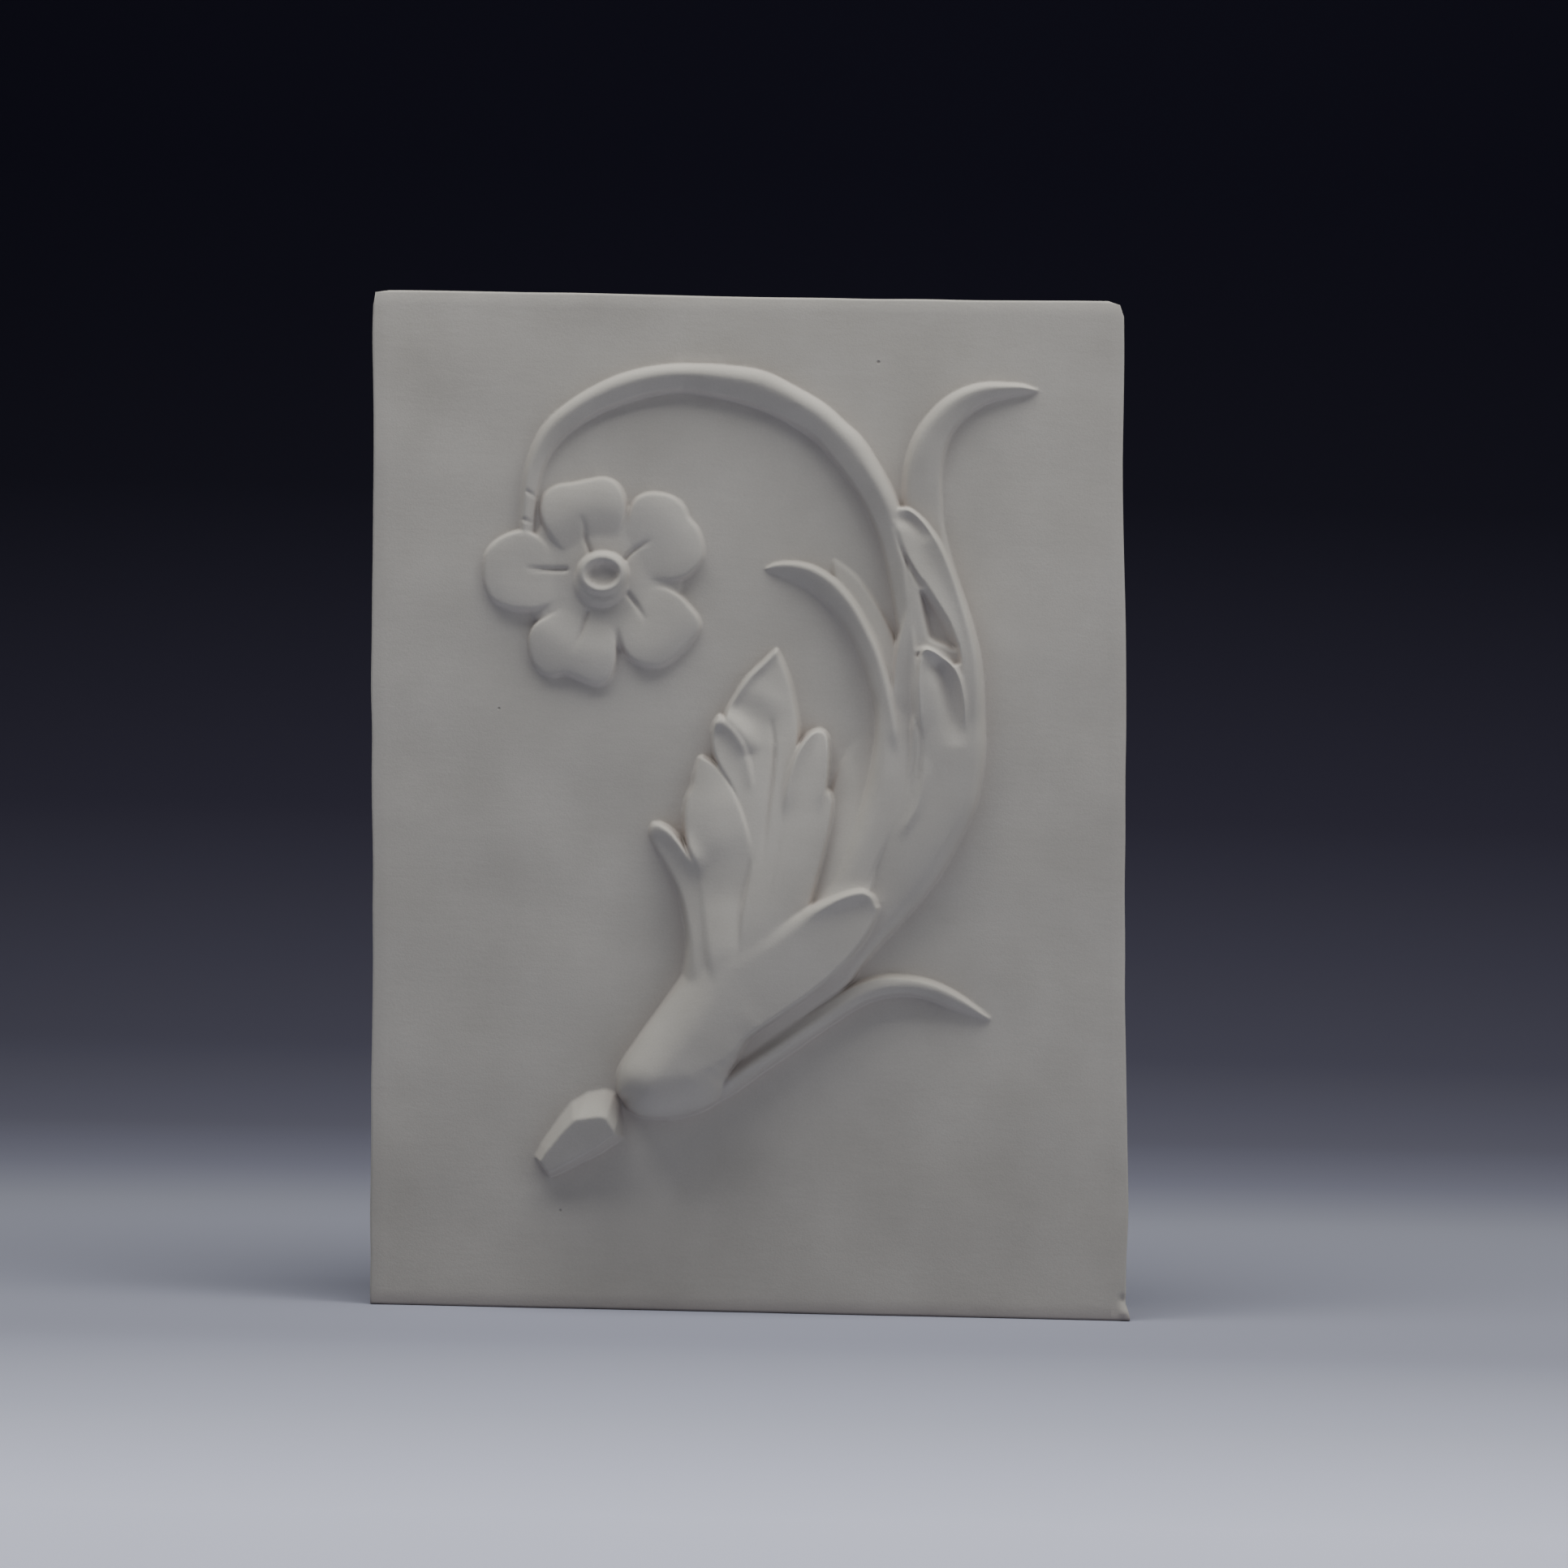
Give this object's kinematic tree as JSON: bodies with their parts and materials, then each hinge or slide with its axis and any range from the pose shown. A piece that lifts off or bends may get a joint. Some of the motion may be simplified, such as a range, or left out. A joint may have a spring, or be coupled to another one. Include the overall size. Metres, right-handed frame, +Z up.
{
  "type": "plaster bas-relief",
  "caption": "Upright rectangular plaster slab with an acanthus scroll, a bulb, curling tendrils and a flower carved in low relief on its front.",
  "frame": {"origin": "centre of the slab's bounding box at floor level, under the foot", "axes": "+Z up, +Y out of the plain back, so the carved front faces -Y, and +X to the right as one looks at the carving"},
  "size_m": [0.3412, 0.0676, 0.4461],
  "materials": {
    "plaster": "matte"
  },
  "bodies": {
    "root": {"relief_slab": "plaster"}
  },
  "joints": []
}
